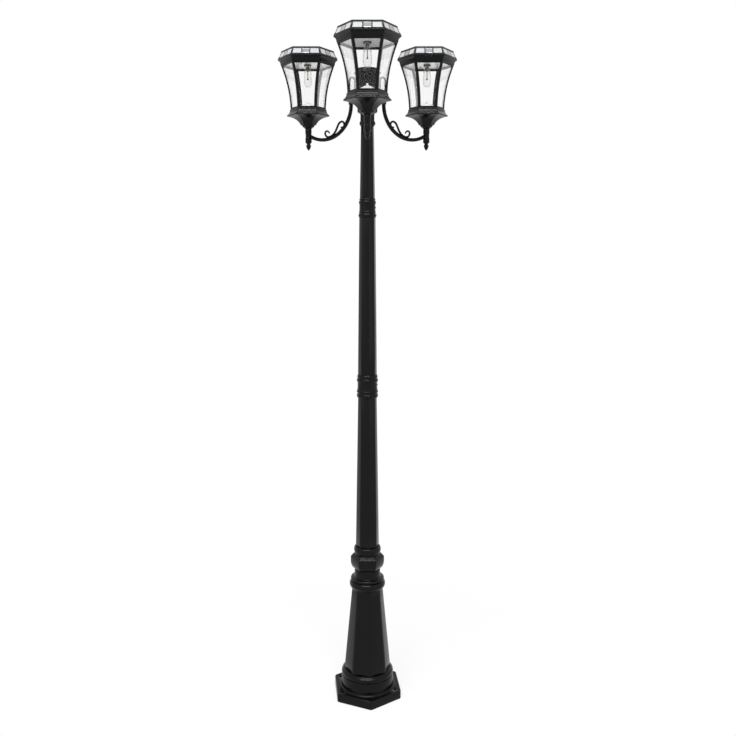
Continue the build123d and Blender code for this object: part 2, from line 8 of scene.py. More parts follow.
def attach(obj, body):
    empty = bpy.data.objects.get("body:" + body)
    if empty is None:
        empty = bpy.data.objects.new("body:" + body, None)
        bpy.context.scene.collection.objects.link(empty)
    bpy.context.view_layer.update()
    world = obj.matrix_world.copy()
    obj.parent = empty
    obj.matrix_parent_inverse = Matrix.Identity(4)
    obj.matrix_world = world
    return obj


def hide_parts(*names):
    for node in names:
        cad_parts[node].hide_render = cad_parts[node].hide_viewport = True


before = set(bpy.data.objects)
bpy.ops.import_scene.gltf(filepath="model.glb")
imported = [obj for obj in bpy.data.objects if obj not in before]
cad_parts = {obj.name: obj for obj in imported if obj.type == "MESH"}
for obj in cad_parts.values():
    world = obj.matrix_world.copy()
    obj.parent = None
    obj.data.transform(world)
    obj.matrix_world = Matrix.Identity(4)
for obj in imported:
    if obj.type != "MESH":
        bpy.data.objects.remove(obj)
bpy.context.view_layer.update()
bpy.ops.object.select_all(action="DESELECT")


# ---- studio -----------------------------------------------------------------------------
# A white floor that keeps the post's soft shadow, a white surround, and soft boxes: the key
# lies level above the camera and draws the lines on the beads, one hangs over the roofs, and
# weak upright ones stand at the sides and behind.

FLOOR_SPAN, FLOOR_GREY = 30.0, 0.82
SHADOW_CORE, SHADOW_REACH = 0.2, 1.1  # the floor whitens between these distances from the post
CORE_WHITE = 0.72                     # share of pure white at the core, 1 beyond the reach
SURROUND_GREY = 0.62                  # strength that lights the post; camera and mirrors see 1
CAMERA_PLACE, CAMERA_TILT = (0.0, -2.728, 1.621), radians(80.53)
CAMERA_LENS, CAMERA_SENSOR, CAMERA_SHIFT = 40.5, 36.0, 0.0008
SOFT_BOXES = (                        # name, width, height, watts, place, turn about X and Z
    ("top_box", 2.4, 0.7, 60.0, (-0.3, -0.9, 4.4), (radians(15), radians(-14))),
    ("key_box", 3.0, 0.5, 120.0, (-0.3, -2.75, 4.0), (radians(39), radians(-6))),
    ("left_box", 0.55, 2.6, 5.0, (-2.3, -2.6, 2.3), (radians(74), radians(-41))),
    ("right_box", 0.45, 2.6, 4.0, (2.6, -1.8, 1.6), (radians(86), radians(55))),
    ("back_box", 0.5, 2.2, 3.0, (1.6, 2.4, 2.2), (radians(-76), radians(-34))),
)


class Wire:
    """An output socket of one material. Sums and products of wires add its Math nodes."""

    def __init__(self, tree, socket=None):
        self.tree, self.socket = tree, socket

    def node(self, kind, settings=None, inputs=None, output=0):
        made = self.tree.nodes.new(kind)
        for name, value in (settings or {}).items():
            setattr(made, name, value)
        for name, value in (inputs or {}).items():
            if isinstance(value, Wire):
                self.tree.links.new(value.socket, made.inputs[name])
            else:
                made.inputs[name].default_value = value
        return Wire(self.tree, made.outputs[output] if made.outputs else None)

    def maths(self, operation, first, second):
        return self.node("ShaderNodeMath", {"operation": operation}, {0: first, 1: second})

    def __add__(self, other):
        return self.maths("ADD", self, other)

    def __sub__(self, other):
        return self.maths("SUBTRACT", self, other)

    def __rsub__(self, other):
        return self.maths("SUBTRACT", other, self)

    def __mul__(self, other):
        return self.maths("MULTIPLY", self, other)

    __radd__, __rmul__ = __add__, __mul__


def start_finish(name):
    """A new empty material, and the wire of places on a piece that its patterns start from."""
    material = bpy.data.materials.new(name)
    material.use_nodes = True
    material.node_tree.nodes.clear()
    return material, Wire(material.node_tree).node("ShaderNodeTexCoord", output="Object")


def end_finish(surface):
    """Close a material with the shader it shows."""
    surface.node("ShaderNodeOutputMaterial", inputs={"Surface": surface})


def seen_directly(wire):
    """1 for a camera, mirror or glass ray, 0 for light that falls on other things."""
    rays = [wire.node("ShaderNodeLightPath", output=f"Is {kind} Ray")
            for kind in ("Camera", "Glossy", "Transmission")]
    return wire.maths("MINIMUM", rays[0] + rays[1] + rays[2], 1.0)


world = bpy.data.worlds.new("surround")
world.use_nodes = True
world.node_tree.nodes.clear()
bpy.context.scene.world = world
sky = Wire(world.node_tree)
strength = seen_directly(sky) * (1 - SURROUND_GREY) + SURROUND_GREY
glow = sky.node("ShaderNodeBackground", inputs={"Color": (1, 1, 1, 1), "Strength": strength})
sky.node("ShaderNodeOutputWorld", inputs={"Surface": glow})

bpy.ops.mesh.primitive_grid_add(x_subdivisions=4, y_subdivisions=4, size=FLOOR_SPAN)
floor = bpy.context.object
floor.name = "floor"
paper, spot = start_finish("floor_paper")
distance = spot.node("ShaderNodeVectorMath", {"operation": "LENGTH"}, {0: spot}, output="Value")
whiteness = spot.node("ShaderNodeMapRange", inputs={
    "Value": distance, "From Min": SHADOW_CORE, "From Max": SHADOW_REACH,
    "To Min": CORE_WHITE, "To Max": 1.0})
lit = spot.node("ShaderNodeBsdfDiffuse", inputs={"Color": (FLOOR_GREY, FLOOR_GREY, FLOOR_GREY, 1)})
white = spot.node("ShaderNodeEmission", inputs={"Color": (1, 1, 1, 1), "Strength": 1.0})
end_finish(spot.node("ShaderNodeMixShader", inputs={
    0: seen_directly(spot) * whiteness, 1: lit, 2: white}))
floor.data.materials.append(paper)

for name, width, height, watts, place, (lean, heading) in SOFT_BOXES:
    bpy.ops.object.light_add(type="AREA", location=place, rotation=(lean, 0, heading))
    box_light = bpy.context.object
    box_light.name = name
    box_light.data.shape = "RECTANGLE"
    box_light.data.size, box_light.data.size_y = width, height
    box_light.data.energy = watts

bpy.ops.object.camera_add(location=CAMERA_PLACE, rotation=(CAMERA_TILT, 0, 0))
camera = bpy.context.object
camera.data.lens = CAMERA_LENS
camera.data.sensor_width = CAMERA_SENSOR
camera.data.shift_x = CAMERA_SHIFT
bpy.context.scene.camera = camera
bpy.context.scene.view_settings.view_transform = "Standard"


# ---- base casting -------------------------------------------------------------------------
# The foot of the post: a six-cornered plate with a raised border and six bolt holes, a round
# drum and bead, and an eight-sided bell, sand cast in one hollow piece of aluminium and
# powder coated satin black.

BASE_TURN = radians(6)
PLATE_BORE, PLATE_CORNER, PLATE_ROUNDING = 0.0950, 0.1285, 0.004
PLATE_FIELD, PLATE_TOP = 0.0281, 0.030
BOLT_CIRCLE, BOLT_HOLE, DRILL_LENGTH, DRILL_SIDES = 0.106, 0.005, 0.1, 32
FOOT_BORE, FOOT_RIM, FOOT_TOP = 0.0820, 0.0965, 0.0948
DRUM, DRUM_TOP, THROAT = 0.091, 0.074, 0.0700
BELL_FOOT, BELL_TOP = (0.0824, 0.094), (0.0544, 0.388)
BELL_WALL, BELL_STEPS = 0.006, 8
POLE_SIDES = 8
CORNER_SHARE = 0.075                  # how much of a pole's corner is rounded off
ROUND = 96                            # sides of a ring that is truly round
COAT_BLACK, COAT_GRAIN = 0.0022, 750.0
HAIR = 0.0001                         # places nearer than this count as one


def draw_circle(sides, radius, place, turn, filled=True):
    """A flat ring, selected in edit mode. It joins the piece being edited, if there is one."""
    drawing = bpy.context.mode == "EDIT_MESH"
    bpy.ops.mesh.primitive_circle_add(vertices=sides, radius=radius, location=place, rotation=turn,
                                      fill_type="NGON" if filled else "NOTHING")
    if not drawing:
        bpy.ops.object.transform_apply(location=True, rotation=True, scale=True)
        bpy.ops.object.mode_set(mode="EDIT")


def ring(sides, radius, height, turn=0.0, rounding=0.0, filled=True, at=(0.0, 0.0)):
    """A level ring round an upright axis, with its corners rounded off where that is asked."""
    draw_circle(sides, radius, (*at, height), (0, 0, turn), filled)
    if rounding:
        bpy.ops.mesh.bevel(affect="VERTICES", offset=rounding, segments=4)


def pull(outline, at=(0.0, 0.0)):
    """Extrude the selected ring through (radius, height) pairs, the first being its own."""
    for (radius, height), (next_radius, next_height) in zip(outline, outline[1:]):
        rise = next_height - height
        bpy.ops.mesh.extrude_region_move(TRANSFORM_OT_translate={"value": (0, 0, rise)})
        share = next_radius / radius
        bpy.ops.transform.resize(value=(share, share, 1), center_override=(*at, next_height))


def pick(test, open_edges=False, faces=False):
    """Select what is being edited by a test on its vertices' places or its faces' centres."""
    bpy.ops.mesh.select_all(action="DESELECT")
    mesh = bmesh.from_edit_mesh(bpy.context.object.data)
    if faces:
        chosen = [face for face in mesh.faces if test(face.calc_center_median())]
    elif open_edges:
        chosen = [edge for edge in mesh.edges if len(edge.link_faces) < 2
                  and all(test(corner.co) for corner in edge.verts)]
    else:
        chosen = [corner for corner in mesh.verts if test(corner.co)]
    for part in chosen:
        part.select_set(True)
    if not faces and not open_edges:
        mesh.select_flush(True)
    bmesh.update_edit_mesh(bpy.context.object.data)


def stack(sides, outline, turn=0.0, rounding=0.0, hollow=False, at=(0.0, 0.0)):
    """A ring pulled through an outline. A hollow one is bridged from its last ring to its first."""
    ring(sides, *outline[0], turn, rounding, not hollow, at)
    pull(outline, at)
    if hollow:
        (first_radius, first), (last_radius, last) = outline[0], outline[-1]
        reach = max(first_radius, last_radius) + HAIR
        pick(lambda spot: hypot(spot.x - at[0], spot.y - at[1]) < reach
             and min(abs(spot.z - first), abs(spot.z - last)) < HAIR, open_edges=True)
        bpy.ops.mesh.bridge_edge_loops()


def bead(root, crest, low, high, steps=8):
    """(radius, height) pairs over a rounded bead."""
    turns = [pi * (step / steps - 0.5) for step in range(steps + 1)]
    return [(root + (crest - root) * cos(turn), (low + high) / 2 + (high - low) / 2 * sin(turn))
            for turn in turns]


def curve(start, pull_point, end, steps=6):
    """Pairs along a curve from start to end that bends toward a third point."""
    shares = [step / steps for step in range(steps + 1)]
    return [tuple((1 - s) ** 2 * a + 2 * s * (1 - s) * b + s * s * c
                  for a, b, c in zip(start, pull_point, end)) for s in shares]


def faceted_tube(foot, top, wall, steps):
    """A tapered tube of eight rounded sides, between two (radius, height) pairs."""
    outside = [tuple(low + (high - low) * step / steps for low, high in zip(foot, top))
               for step in range(steps + 1)]
    stack(POLE_SIDES, outside + [(top[0] - wall, top[1]), (foot[0] - wall, foot[1])],
          BASE_TURN, rounding=foot[0] * CORNER_SHARE, hollow=True)


def finish(name, material, edge=0.0008, crease=32.0):
    """Merge, turn the faces outward, round the sharp edges and give the piece its material."""
    bpy.ops.mesh.select_all(action="SELECT")
    bpy.ops.mesh.remove_doubles(threshold=0.00001)
    bpy.ops.mesh.normals_make_consistent(inside=False)
    bpy.ops.object.mode_set(mode="OBJECT")
    piece = bpy.context.object
    piece.name = name
    if edge:
        soften = piece.modifiers.new("soft_edges", "BEVEL")
        soften.width, soften.segments = edge, 2
        soften.limit_method, soften.angle_limit = "ANGLE", radians(crease)
        bpy.ops.object.modifier_apply(modifier=soften.name)
    bpy.ops.object.shade_smooth_by_angle(angle=radians(crease))
    piece.data.materials.clear()
    piece.data.materials.append(material)
    piece.select_set(False)
    return piece


def fit(piece, body, node):
    """Hang a piece on its body, in place of the CAD node it stands for."""
    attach(piece, body)
    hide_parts(node)


def noise(spot, scale, detail):
    """A cloudy pattern, finer with scale."""
    return spot.node("ShaderNodeTexNoise", inputs={"Vector": spot, "Scale": scale, "Detail": detail})


def near_grey(shade, red=1.0, blue=1.0):
    """A grey that leans a little by its red or blue part."""
    return shade.node("ShaderNodeCombineColor", inputs={
        "Red": shade * red, "Green": shade, "Blue": shade * blue})


def bumps(pattern, strength, depth):
    """The surface's direction over a pattern of heights."""
    return pattern.node("ShaderNodeBump", inputs={
        "Height": pattern, "Strength": strength, "Distance": depth})


def end_solid(colour, sockets):
    """Close a material that light doesn't pass: its colour, and its other sockets by name."""
    end_finish(colour.node("ShaderNodeBsdfPrincipled", inputs={"Base Color": colour, **sockets}))


def powder_coat(name, grain, black):
    """Satin powder coat: fine pebbles, faint clouding, and duller in patches."""
    material, spot = start_finish(name)
    pebbles = noise(spot, grain, 3.0)
    orange_peel = noise(spot, 90.0, 2.0)
    clouds = noise(spot, 11.0, 5.0)
    shade = clouds * black + pebbles * (black * 0.6) + black * 0.3
    end_solid(near_grey(shade, blue=1.05), {
        "Roughness": clouds * 0.10 + pebbles * 0.05 + 0.14, "Specular IOR Level": 0.14,
        "Normal": bumps(pebbles * 0.6 + orange_peel * 0.4, 0.4, 0.0005)})
    return material


black_coat = powder_coat("black_coat", COAT_GRAIN, COAT_BLACK)

plate_line = [(PLATE_BORE, 0.0), (PLATE_CORNER, 0.0), (PLATE_CORNER, 0.0268), (0.1275, 0.0288),
              (0.1255, PLATE_TOP), (0.1210, PLATE_TOP), (0.1195, PLATE_FIELD), (PLATE_BORE, PLATE_FIELD)]
stack(6, plate_line, BASE_TURN, rounding=PLATE_ROUNDING, hollow=True)
plate = finish("base_plate", black_coat, edge=0)
for corner in range(6):
    angle = BASE_TURN - pi / 2 + corner * pi / 3
    bpy.ops.mesh.primitive_cylinder_add(
        vertices=DRILL_SIDES, radius=BOLT_HOLE, depth=DRILL_LENGTH,
        location=(BOLT_CIRCLE * cos(angle), BOLT_CIRCLE * sin(angle), 0))
    drill = bpy.context.object
    bore = plate.modifiers.new("bolt_hole", "BOOLEAN")
    bore.object, bore.operation, bore.solver = drill, "DIFFERENCE", "EXACT"
    bpy.ops.object.select_all(action="DESELECT")
    bpy.context.view_layer.objects.active = plate
    plate.select_set(True)
    bpy.ops.object.modifier_apply(modifier=bore.name)
    bpy.data.objects.remove(drill)

bpy.ops.object.mode_set(mode="EDIT")
foot_line = ([(FOOT_BORE, 0.0), (FOOT_RIM, 0.0), (FOOT_RIM, 0.0275)]
             + curve((0.0962, 0.0290), (0.0912, 0.0300), (DRUM, 0.0380), 5)
             + [(DRUM, 0.0725), (0.0902, DRUM_TOP), (0.0860, 0.0745)]
             + curve((0.0895, 0.0752), (0.0925, 0.0800), (0.0893, 0.0875), 8)
             + [(0.0868, 0.0893), (0.0862, 0.0905)]
             + curve((0.0856, 0.0910), (0.0845, 0.0940), (0.0810, FOOT_TOP), 4)
             + [(THROAT, FOOT_TOP), (THROAT, 0.0700), (FOOT_BORE, 0.0660)])
stack(ROUND, foot_line, hollow=True)
faceted_tube(BELL_FOOT, BELL_TOP, BELL_WALL, BELL_STEPS)
fit(finish("base", black_coat, edge=0.0009), "post", "base_casting")


# ---- base collar --------------------------------------------------------------------------
# The turned and six-sided collar that joins the bell to the pole: two beads, a waist, a
# six-sided barrel and a top bead, cast in one piece and held by spigots.

COLLAR_BORE, COLLAR_ROOT, NECK = 0.038, 0.0525, 0.0445
COLLAR_FOOT, COLLAR_TOP = 0.3875, 0.5440
BARREL, BARREL_FOOT, BARREL_TURN, BARREL_ROUNDING = 0.0584, 0.4595, radians(30), 0.0016

beads_line = ([(COLLAR_BORE, COLLAR_FOOT), (COLLAR_ROOT, COLLAR_FOOT), (COLLAR_ROOT, 0.3940)]
              + bead(COLLAR_ROOT, 0.0619, 0.3945, 0.4212, 12) + [(0.0530, 0.4216)]
              + bead(COLLAR_ROOT, 0.0577, 0.4220, 0.4328, 8) + [(0.0480, 0.4335)]
              + curve((0.0462, 0.4345), (NECK, 0.4370), (NECK, 0.4430), 4)
              + [(NECK, 0.4640), (COLLAR_BORE, 0.4640)])
stack(ROUND, beads_line, hollow=True)
barrel_line = ([(COLLAR_BORE, BARREL_FOOT)]
               + curve((NECK - 0.0008, BARREL_FOOT), (0.0570, 0.4660), (BARREL, 0.4870), 8)
               + [(BARREL, 0.5040), (0.0572, 0.5068), (0.0548, 0.5085), (0.0500, 0.5150),
                  (COLLAR_BORE, 0.5160)])
stack(6, barrel_line, BARREL_TURN, rounding=BARREL_ROUNDING, hollow=True)
top_bead_line = ([(COLLAR_BORE, 0.5140), (0.0452, 0.5140), (0.0430, 0.5165), (0.0422, 0.5195)]
                 + bead(0.0420, 0.0465, 0.5202, 0.5432, 12)
                 + [(0.0412, COLLAR_TOP), (COLLAR_BORE, COLLAR_TOP)])
stack(ROUND, top_bead_line, hollow=True)
fit(finish("base_collar_casting", black_coat), "post", "base_collar")


# ---- pole sections ------------------------------------------------------------------------
# Three tapered tubes of eight rounded sides, drawn from aluminium, coated black. Each slides
# over the spigots of the castings above and below it.

POLE_WALL, POLE_STEPS = 0.0025, 6
SMALL_EDGE = 0.0005
SECTIONS = {"lower_pole": ((0.0406, 0.5440), (0.0318, 1.0680)),
            "middle_pole": ((0.0322, 1.1430), (0.0270, 1.6620)),
            "upper_pole": ((0.0250, 1.7190), (0.0210, 1.9470))}

for node, (foot, top) in SECTIONS.items():
    faceted_tube(foot, top, POLE_WALL, POLE_STEPS)
    fit(finish(f"{node}_tube", black_coat, edge=SMALL_EDGE), "post", node)


# ---- pole couplings -----------------------------------------------------------------------
# Turned sleeves between the pole sections, with pairs of beads at their ends and spigots
# that reach into the tubes. Grub screws lock them from the side.

LOWER_BORE, LOWER_SLEEVE, LOWER_FOOT, LOWER_TOP = 0.0240, 0.0330, 1.0660, 1.1450
UPPER_BORE, UPPER_SLEEVE, UPPER_FOOT, UPPER_TOP = 0.0180, 0.0260, 1.6600, 1.7210

lower_line = ([(LOWER_BORE, LOWER_FOOT), (LOWER_SLEEVE, LOWER_FOOT), (0.0337, 1.0675)]
              + bead(0.0337, 0.0359, 1.0682, 1.0795, 8) + [(0.0335, 1.0810), (0.0336, 1.0832)]
              + bead(0.0341, 0.0360, 1.0838, 1.0915, 6)
              + curve((0.0345, 1.0925), (0.0331, 1.0960), (LOWER_SLEEVE, 1.1040), 4)
              + [(LOWER_SLEEVE, 1.1180), (0.0332, 1.1198)]
              + bead(0.0334, 0.0359, 1.1205, 1.1312, 8) + [(0.0328, 1.1322)]
              + bead(0.0328, 0.0342, 1.1330, 1.1425, 6)
              + [(0.0322, 1.1435), (0.0318, LOWER_TOP), (LOWER_BORE, LOWER_TOP)])
stack(ROUND, lower_line, hollow=True)
fit(finish("lower_coupling_sleeve", black_coat, edge=SMALL_EDGE), "post", "lower_coupling")

upper_line = ([(UPPER_BORE, UPPER_FOOT), (0.0270, UPPER_FOOT), (0.0276, 1.6620)]
              + bead(0.0277, 0.0294, 1.6628, 1.6720, 8) + [(0.0266, 1.6733), (0.0266, 1.6742)]
              + bead(0.0266, 0.0274, 1.6747, 1.6803, 5)
              + [(0.0263, 1.6812), (UPPER_SLEEVE, 1.6900), (UPPER_SLEEVE, 1.7015)]
              + bead(0.0263, 0.0279, 1.7035, 1.7130, 8) + [(0.0255, 1.7140), (0.0256, 1.7150)]
              + bead(0.0256, 0.0262, 1.7155, 1.7200, 4) + [(0.0248, UPPER_TOP), (UPPER_BORE, UPPER_TOP)])
stack(ROUND, upper_line, hollow=True)
fit(finish("upper_coupling_sleeve", black_coat, edge=SMALL_EDGE), "post", "upper_coupling")


# ---- hub and cap --------------------------------------------------------------------------
# The hollow drum at the top of the pole that the three arms bolt to: ring, neck, collar and
# drum in one casting, with two bands round the drum and a pressed lid on top.

HUB, HUB_BAND, HUB_NECK, HUB_COLLAR = 0.0385, 0.0424, 0.0224, 0.0318
HUB_BORE, HUB_INSIDE = 0.0140, 0.0335
HUB_FOOT, HUB_TOP = 1.9460, 2.114
LID_EDGE, LID_MIDDLE = 2.1220, 2.1225

hub_line = ([(HUB_BORE, HUB_FOOT), (0.0220, HUB_FOOT), (0.0226, 1.9485)]
            + bead(0.0226, 0.0254, 1.9488, 1.9615, 6)
            + [(HUB_NECK, 1.9630), (HUB_NECK, 1.9825), (0.0240, 1.9855), (0.0290, 1.9875),
               (0.0314, 1.9895), (HUB_COLLAR, 1.9920), (HUB_COLLAR, 2.0110), (0.0335, 2.0142),
               (0.0372, 2.0180), (HUB, 2.0230), (HUB, 2.0750)]
            + bead(HUB, HUB_BAND, 2.0760, 2.0820, 6) + [(HUB, 2.0830), (HUB, 2.1040)]
            + bead(HUB, HUB_BAND, 2.1048, 2.1110, 6)
            + [(HUB, HUB_TOP), (HUB_INSIDE, HUB_TOP), (HUB_INSIDE, 2.0240), (HUB_BORE, 2.0160)])
stack(ROUND, hub_line, hollow=True)
fit(finish("hub_casting", black_coat, edge=SMALL_EDGE), "post", "hub")

lid_line = ([(0.0333, 2.1040), (0.0333, HUB_TOP), (HUB, HUB_TOP)]
            + curve((0.0383, 2.1155), (0.0378, 2.1218), (0.0315, LID_EDGE), 6) + [(0.0020, LID_MIDDLE)])
stack(ROUND, lid_line)
fit(finish("hub_lid", black_coat, edge=SMALL_EDGE), "post", "hub_cap")


# ---- arms ---------------------------------------------------------------------------------
# Each arm is one casting: a pad bolted to the hub, a six-sided bar that leaves it downward
# and sweeps out in a large curve, a loop above the pad, a double scroll in the crook and
# an upright stem that carries the lantern.

ARM_REACH, LANTERN_SEAT = 0.226, 2.012
HEADINGS = {"front": -90.0, "right": 30.0, "left": 150.0}
PAD_SIDES, BAR_SIDES, LOOP_SIDES, SCROLL_SIDES, STEM_SIDES = 40, 6, 16, 12, 48
PAD, PAD_MIDDLE, PAD_RUN = 0.0110, 2.042, 0.012       # end radius, height, half its straight run
PAD_BACK, PAD_THICK, PAD_CHAMFER, PAD_FACE = 0.0355, 0.0090, 0.0012, 0.93
BAR, BAR_ROUNDING, BAR_START, BAR_RISE = 0.0065, 0.0012, 0.0400, 0.0603
BAR_HEIGHT, BAR_BEND, BEND_STEPS = 2.038, 0.014, 8
SWEEP, SWEEP_HEIGHT, SWEEP_TURN, SWEEP_STEPS = 0.105, 2.018, radians(119.5), 36
LOOP, LOOP_BEND, LOOP_STEPS, LOOP_TOP, LOOP_END = 0.0032, 0.010, 14, 2.090, 2.058
LOOP_OUT = BAR_RISE + BAR - 0.0006    # the loop's outer rod sinks a little into the bar
SCROLL_ENDS, SCROLL_WAIST = 0.0024, 0.0034
SCROLL_HEADING, SCROLL_STEP = (-1.0, -0.6), radians(16)
SCROLL = ((0.0995, 1.9500), (0.0920, 1.9492), (0.0864, 1.9560), (0.0980, 1.9668), (0.1096, 1.9575),
          (0.1200, 1.9375), (0.1450, 1.9210), (0.1600, 1.9320), (0.1510, 1.9402), (0.1435, 1.9320))
STEM, STEM_BAND = 0.0097, 0.0107


def standing_ring(sides, radius, x, z, heading):
    """A filled ring at a point of the XZ plane, square to a heading in that plane."""
    draw_circle(sides, radius, (x, 0, z), (0, atan2(*heading), 0))


def go(x, z):
    """Extrude the selected ring along a vector in the XZ plane."""
    bpy.ops.mesh.extrude_region_move(TRANSFORM_OT_translate={"value": (x, 0, z)})


def scale(share, x, z):
    """Scale the selected ring about a point of the XZ plane."""
    bpy.ops.transform.resize(value=(share,) * 3, center_override=(x, 0, z))


def swing(centre, turn, steps):
    """Carry the selected ring round a centre in the XZ plane."""
    middle = (centre[0], 0, centre[1])
    for _ in range(steps):
        bpy.ops.mesh.extrude_region_move()
        bpy.ops.transform.rotate(value=turn / steps, orient_axis="Y", center_override=middle)


def turned(x, z, angle):
    """A vector of the XZ plane, turned by an angle."""
    return x * cos(angle) - z * sin(angle), x * sin(angle) + z * cos(angle)


def lay_scroll(points, heading, thin, thick):
    """A rod of tangent arcs through points, thin at its two ends and thick between."""
    heading = tuple(part / hypot(*heading) for part in heading)
    x, z = points[0]
    radius = thin
    standing_ring(SCROLL_SIDES, thin, x, z, heading)
    legs = len(points) - 1
    for leg, (end_x, end_z) in enumerate(points[1:]):
        away = (end_x - x, end_z - z)
        side = (-heading[1], heading[0])
        across = away[0] * side[0] + away[1] * side[1]
        along = away[0] * heading[0] + away[1] * heading[1]
        bend = (away[0] ** 2 + away[1] ** 2) / (2 * across)
        centre = (x + side[0] * bend, z + side[1] * bend)
        turn = 2 * atan2(across, along)
        steps = max(2, round(abs(turn) / SCROLL_STEP))
        for step in range(1, steps + 1):
            swing(centre, turn / steps, 1)
            off_x, off_z = turned(x - centre[0], z - centre[1], turn * step / steps)
            share = (leg + step / steps) / legs
            wanted = thin + (thick - thin) * min(1.0, 4 * share, 4 * (1 - share))
            scale(wanted / radius, centre[0] + off_x, centre[1] + off_z)
            radius = wanted
        heading = turned(*heading, turn)
        x, z = end_x, end_z


def share_out(piece, body, node, reach=ARM_REACH, seat=LANTERN_SEAT):
    """One copy of a drawn piece for each arm, placed in its mesh. The drawn one is removed."""
    out = Matrix.Translation((reach, 0, seat))
    for side, heading in HEADINGS.items():
        copy = piece.copy()
        copy.data = piece.data.copy()
        copy.name = f"{piece.name}_{side}"
        bpy.context.scene.collection.objects.link(copy)
        copy.data.transform(Matrix.Rotation(radians(heading), 4, "Z") @ out)
        fit(copy, body.format(side), node.format(side))
    bpy.data.objects.remove(piece)


standing_ring(PAD_SIDES, PAD, PAD_BACK, PAD_MIDDLE, (1, 0))
for way in (1, -1):
    pick(lambda spot: (spot.z - PAD_MIDDLE) * way > HAIR)
    bpy.ops.transform.translate(value=(0, 0, PAD_RUN * way))
bpy.ops.mesh.select_all(action="SELECT")
go(PAD_THICK, 0)
go(PAD_CHAMFER, 0)
scale(PAD_FACE, PAD_BACK + PAD_THICK + PAD_CHAMFER, PAD_MIDDLE)

standing_ring(BAR_SIDES, BAR, BAR_START, BAR_HEIGHT, (1, 0))
bpy.ops.mesh.bevel(affect="VERTICES", offset=BAR_ROUNDING, segments=3)
go(BAR_RISE - BAR_BEND - BAR_START, 0)
swing((BAR_RISE - BAR_BEND, BAR_HEIGHT - BAR_BEND), -pi / 2, BEND_STEPS)
go(0, SWEEP_HEIGHT - (BAR_HEIGHT - BAR_BEND))
swing((BAR_RISE + SWEEP, SWEEP_HEIGHT), SWEEP_TURN, SWEEP_STEPS)

standing_ring(LOOP_SIDES, LOOP, LOOP_OUT, SWEEP_HEIGHT, (0, 1))
go(0, LOOP_TOP - SWEEP_HEIGHT)
swing((LOOP_OUT - LOOP_BEND, LOOP_TOP), pi, LOOP_STEPS)
go(0, LOOP_END - LOOP_TOP)

lay_scroll(SCROLL, SCROLL_HEADING, SCROLL_ENDS, SCROLL_WAIST)

stem_line = [(0.0080, -0.1072), (0.0097, -0.1066), (0.0102, -0.1050), (STEM_BAND, -0.1038),
             (STEM_BAND, -0.0908), (0.0099, -0.0896), (STEM, -0.0880), (STEM, -0.0790),
             (0.0100, -0.0772), (STEM_BAND, -0.0758), (STEM_BAND, -0.0625), (STEM, -0.0600),
             (STEM, -0.0280)]
standing = [(radius, LANTERN_SEAT + height) for radius, height in stem_line]
stack(STEM_SIDES, standing, at=(ARM_REACH, 0))
arm = finish("arm_casting", black_coat, edge=0.0004)
share_out(arm, "post", "arm_{}", reach=0, seat=0)


# ---- lantern base -------------------------------------------------------------------------
# The six-sided skirt that the cage stands on, with a curved underside down to a round neck
# over the stem. Cast, hollow, and locked to the stem by three grub screws. Heights in it and
# in all other lantern pieces count from the cage's foot.

SKIRT, SKIRT_TOP, SKIRT_NECK, SKIRT_FOOT = 0.0708, 0.0004, 0.0255, -0.0490
NECK_SIDES = 64

skirt_line = ([(0.0400, SKIRT_TOP), (0.0608, SKIRT_TOP), (0.0612, -0.0006)]
              + curve((0.0612, -0.0030), (0.0622, -0.0120), (0.0700, -0.0165), 6)
              + [(SKIRT, -0.0178), (SKIRT, -0.0207)]
              + curve((0.0690, -0.0212), (0.0345, -0.0270), (SKIRT_NECK, SKIRT_FOOT), 9)
              + [(0.0150, SKIRT_FOOT)])
stack(6, skirt_line, rounding=0.0008)
neck_line = ([(0.0100, -0.0470), (0.0208, -0.0470), (0.0214, -0.0492), (0.0206, -0.0516)]
             + curve((0.0198, -0.0522), (0.0180, -0.0568), (0.0134, -0.0574), 5)
             + [(0.0132, -0.0600), (0.0099, -0.0600)])
stack(NECK_SIDES, neck_line)
share_out(finish("lantern_base_casting", black_coat, edge=0.0006), "post", "lamp_base_{}")


# ---- finial -------------------------------------------------------------------------------
# A turned acorn with a neck and a small tip, coated black like the arm. It is screwed into
# the foot of each stem.

ACORN_SIDES = 40

acorn_line = ([(0.0060, -0.1050), (0.0074, -0.1066), (0.0074, -0.1080), (0.0058, -0.1094),
               (0.0055, -0.1108), (0.0076, -0.1124), (0.0082, -0.1140)]
              + curve((0.0082, -0.1150), (0.0074, -0.1240), (0.0022, -0.1286), 7)
              + [(0.0018, -0.1298), (0.0010, -0.1303)])
stack(ACORN_SIDES, acorn_line)
share_out(finish("acorn_finial", black_coat, edge=0.0003), "post", "finial_{}")


# ---- lantern cage -------------------------------------------------------------------------
# Six bowed corner posts of angle section between a bottom ring and a top ring, cast in one
# frame. The faces flare outward toward the roof.

GLASS_TOP, RAIL, POST_LEG, CAGE_WALL = 0.142, 0.0065, 0.0067, 0.0026
CAGE_FOOT, FLARE_SLOPE, FLARE_BOW, FLARE_STEPS = 0.0586, 0.02129, 1.3478, 18
SIXTH = pi / 3
APOTHEM = cos(pi / 6)                 # flat distance over corner distance of a hexagon
CORNER_PLANES = (pi / 6, pi / 2, 5 * pi / 6)


def flare(height):
    """Corner distance of the lantern's outside at a height above the skirt."""
    return CAGE_FOOT + FLARE_SLOPE * height + FLARE_BOW * height ** 2


def face_out():
    """Turn a skin's faces outward. It is done while the skin is one whole band."""
    bpy.ops.mesh.select_all(action="SELECT")
    bpy.ops.mesh.normals_make_consistent(inside=False)


def skin(outline):
    """Six open faces through (corner distance, height) pairs."""
    ring(6, *outline[0], filled=False)
    pull(outline)
    face_out()


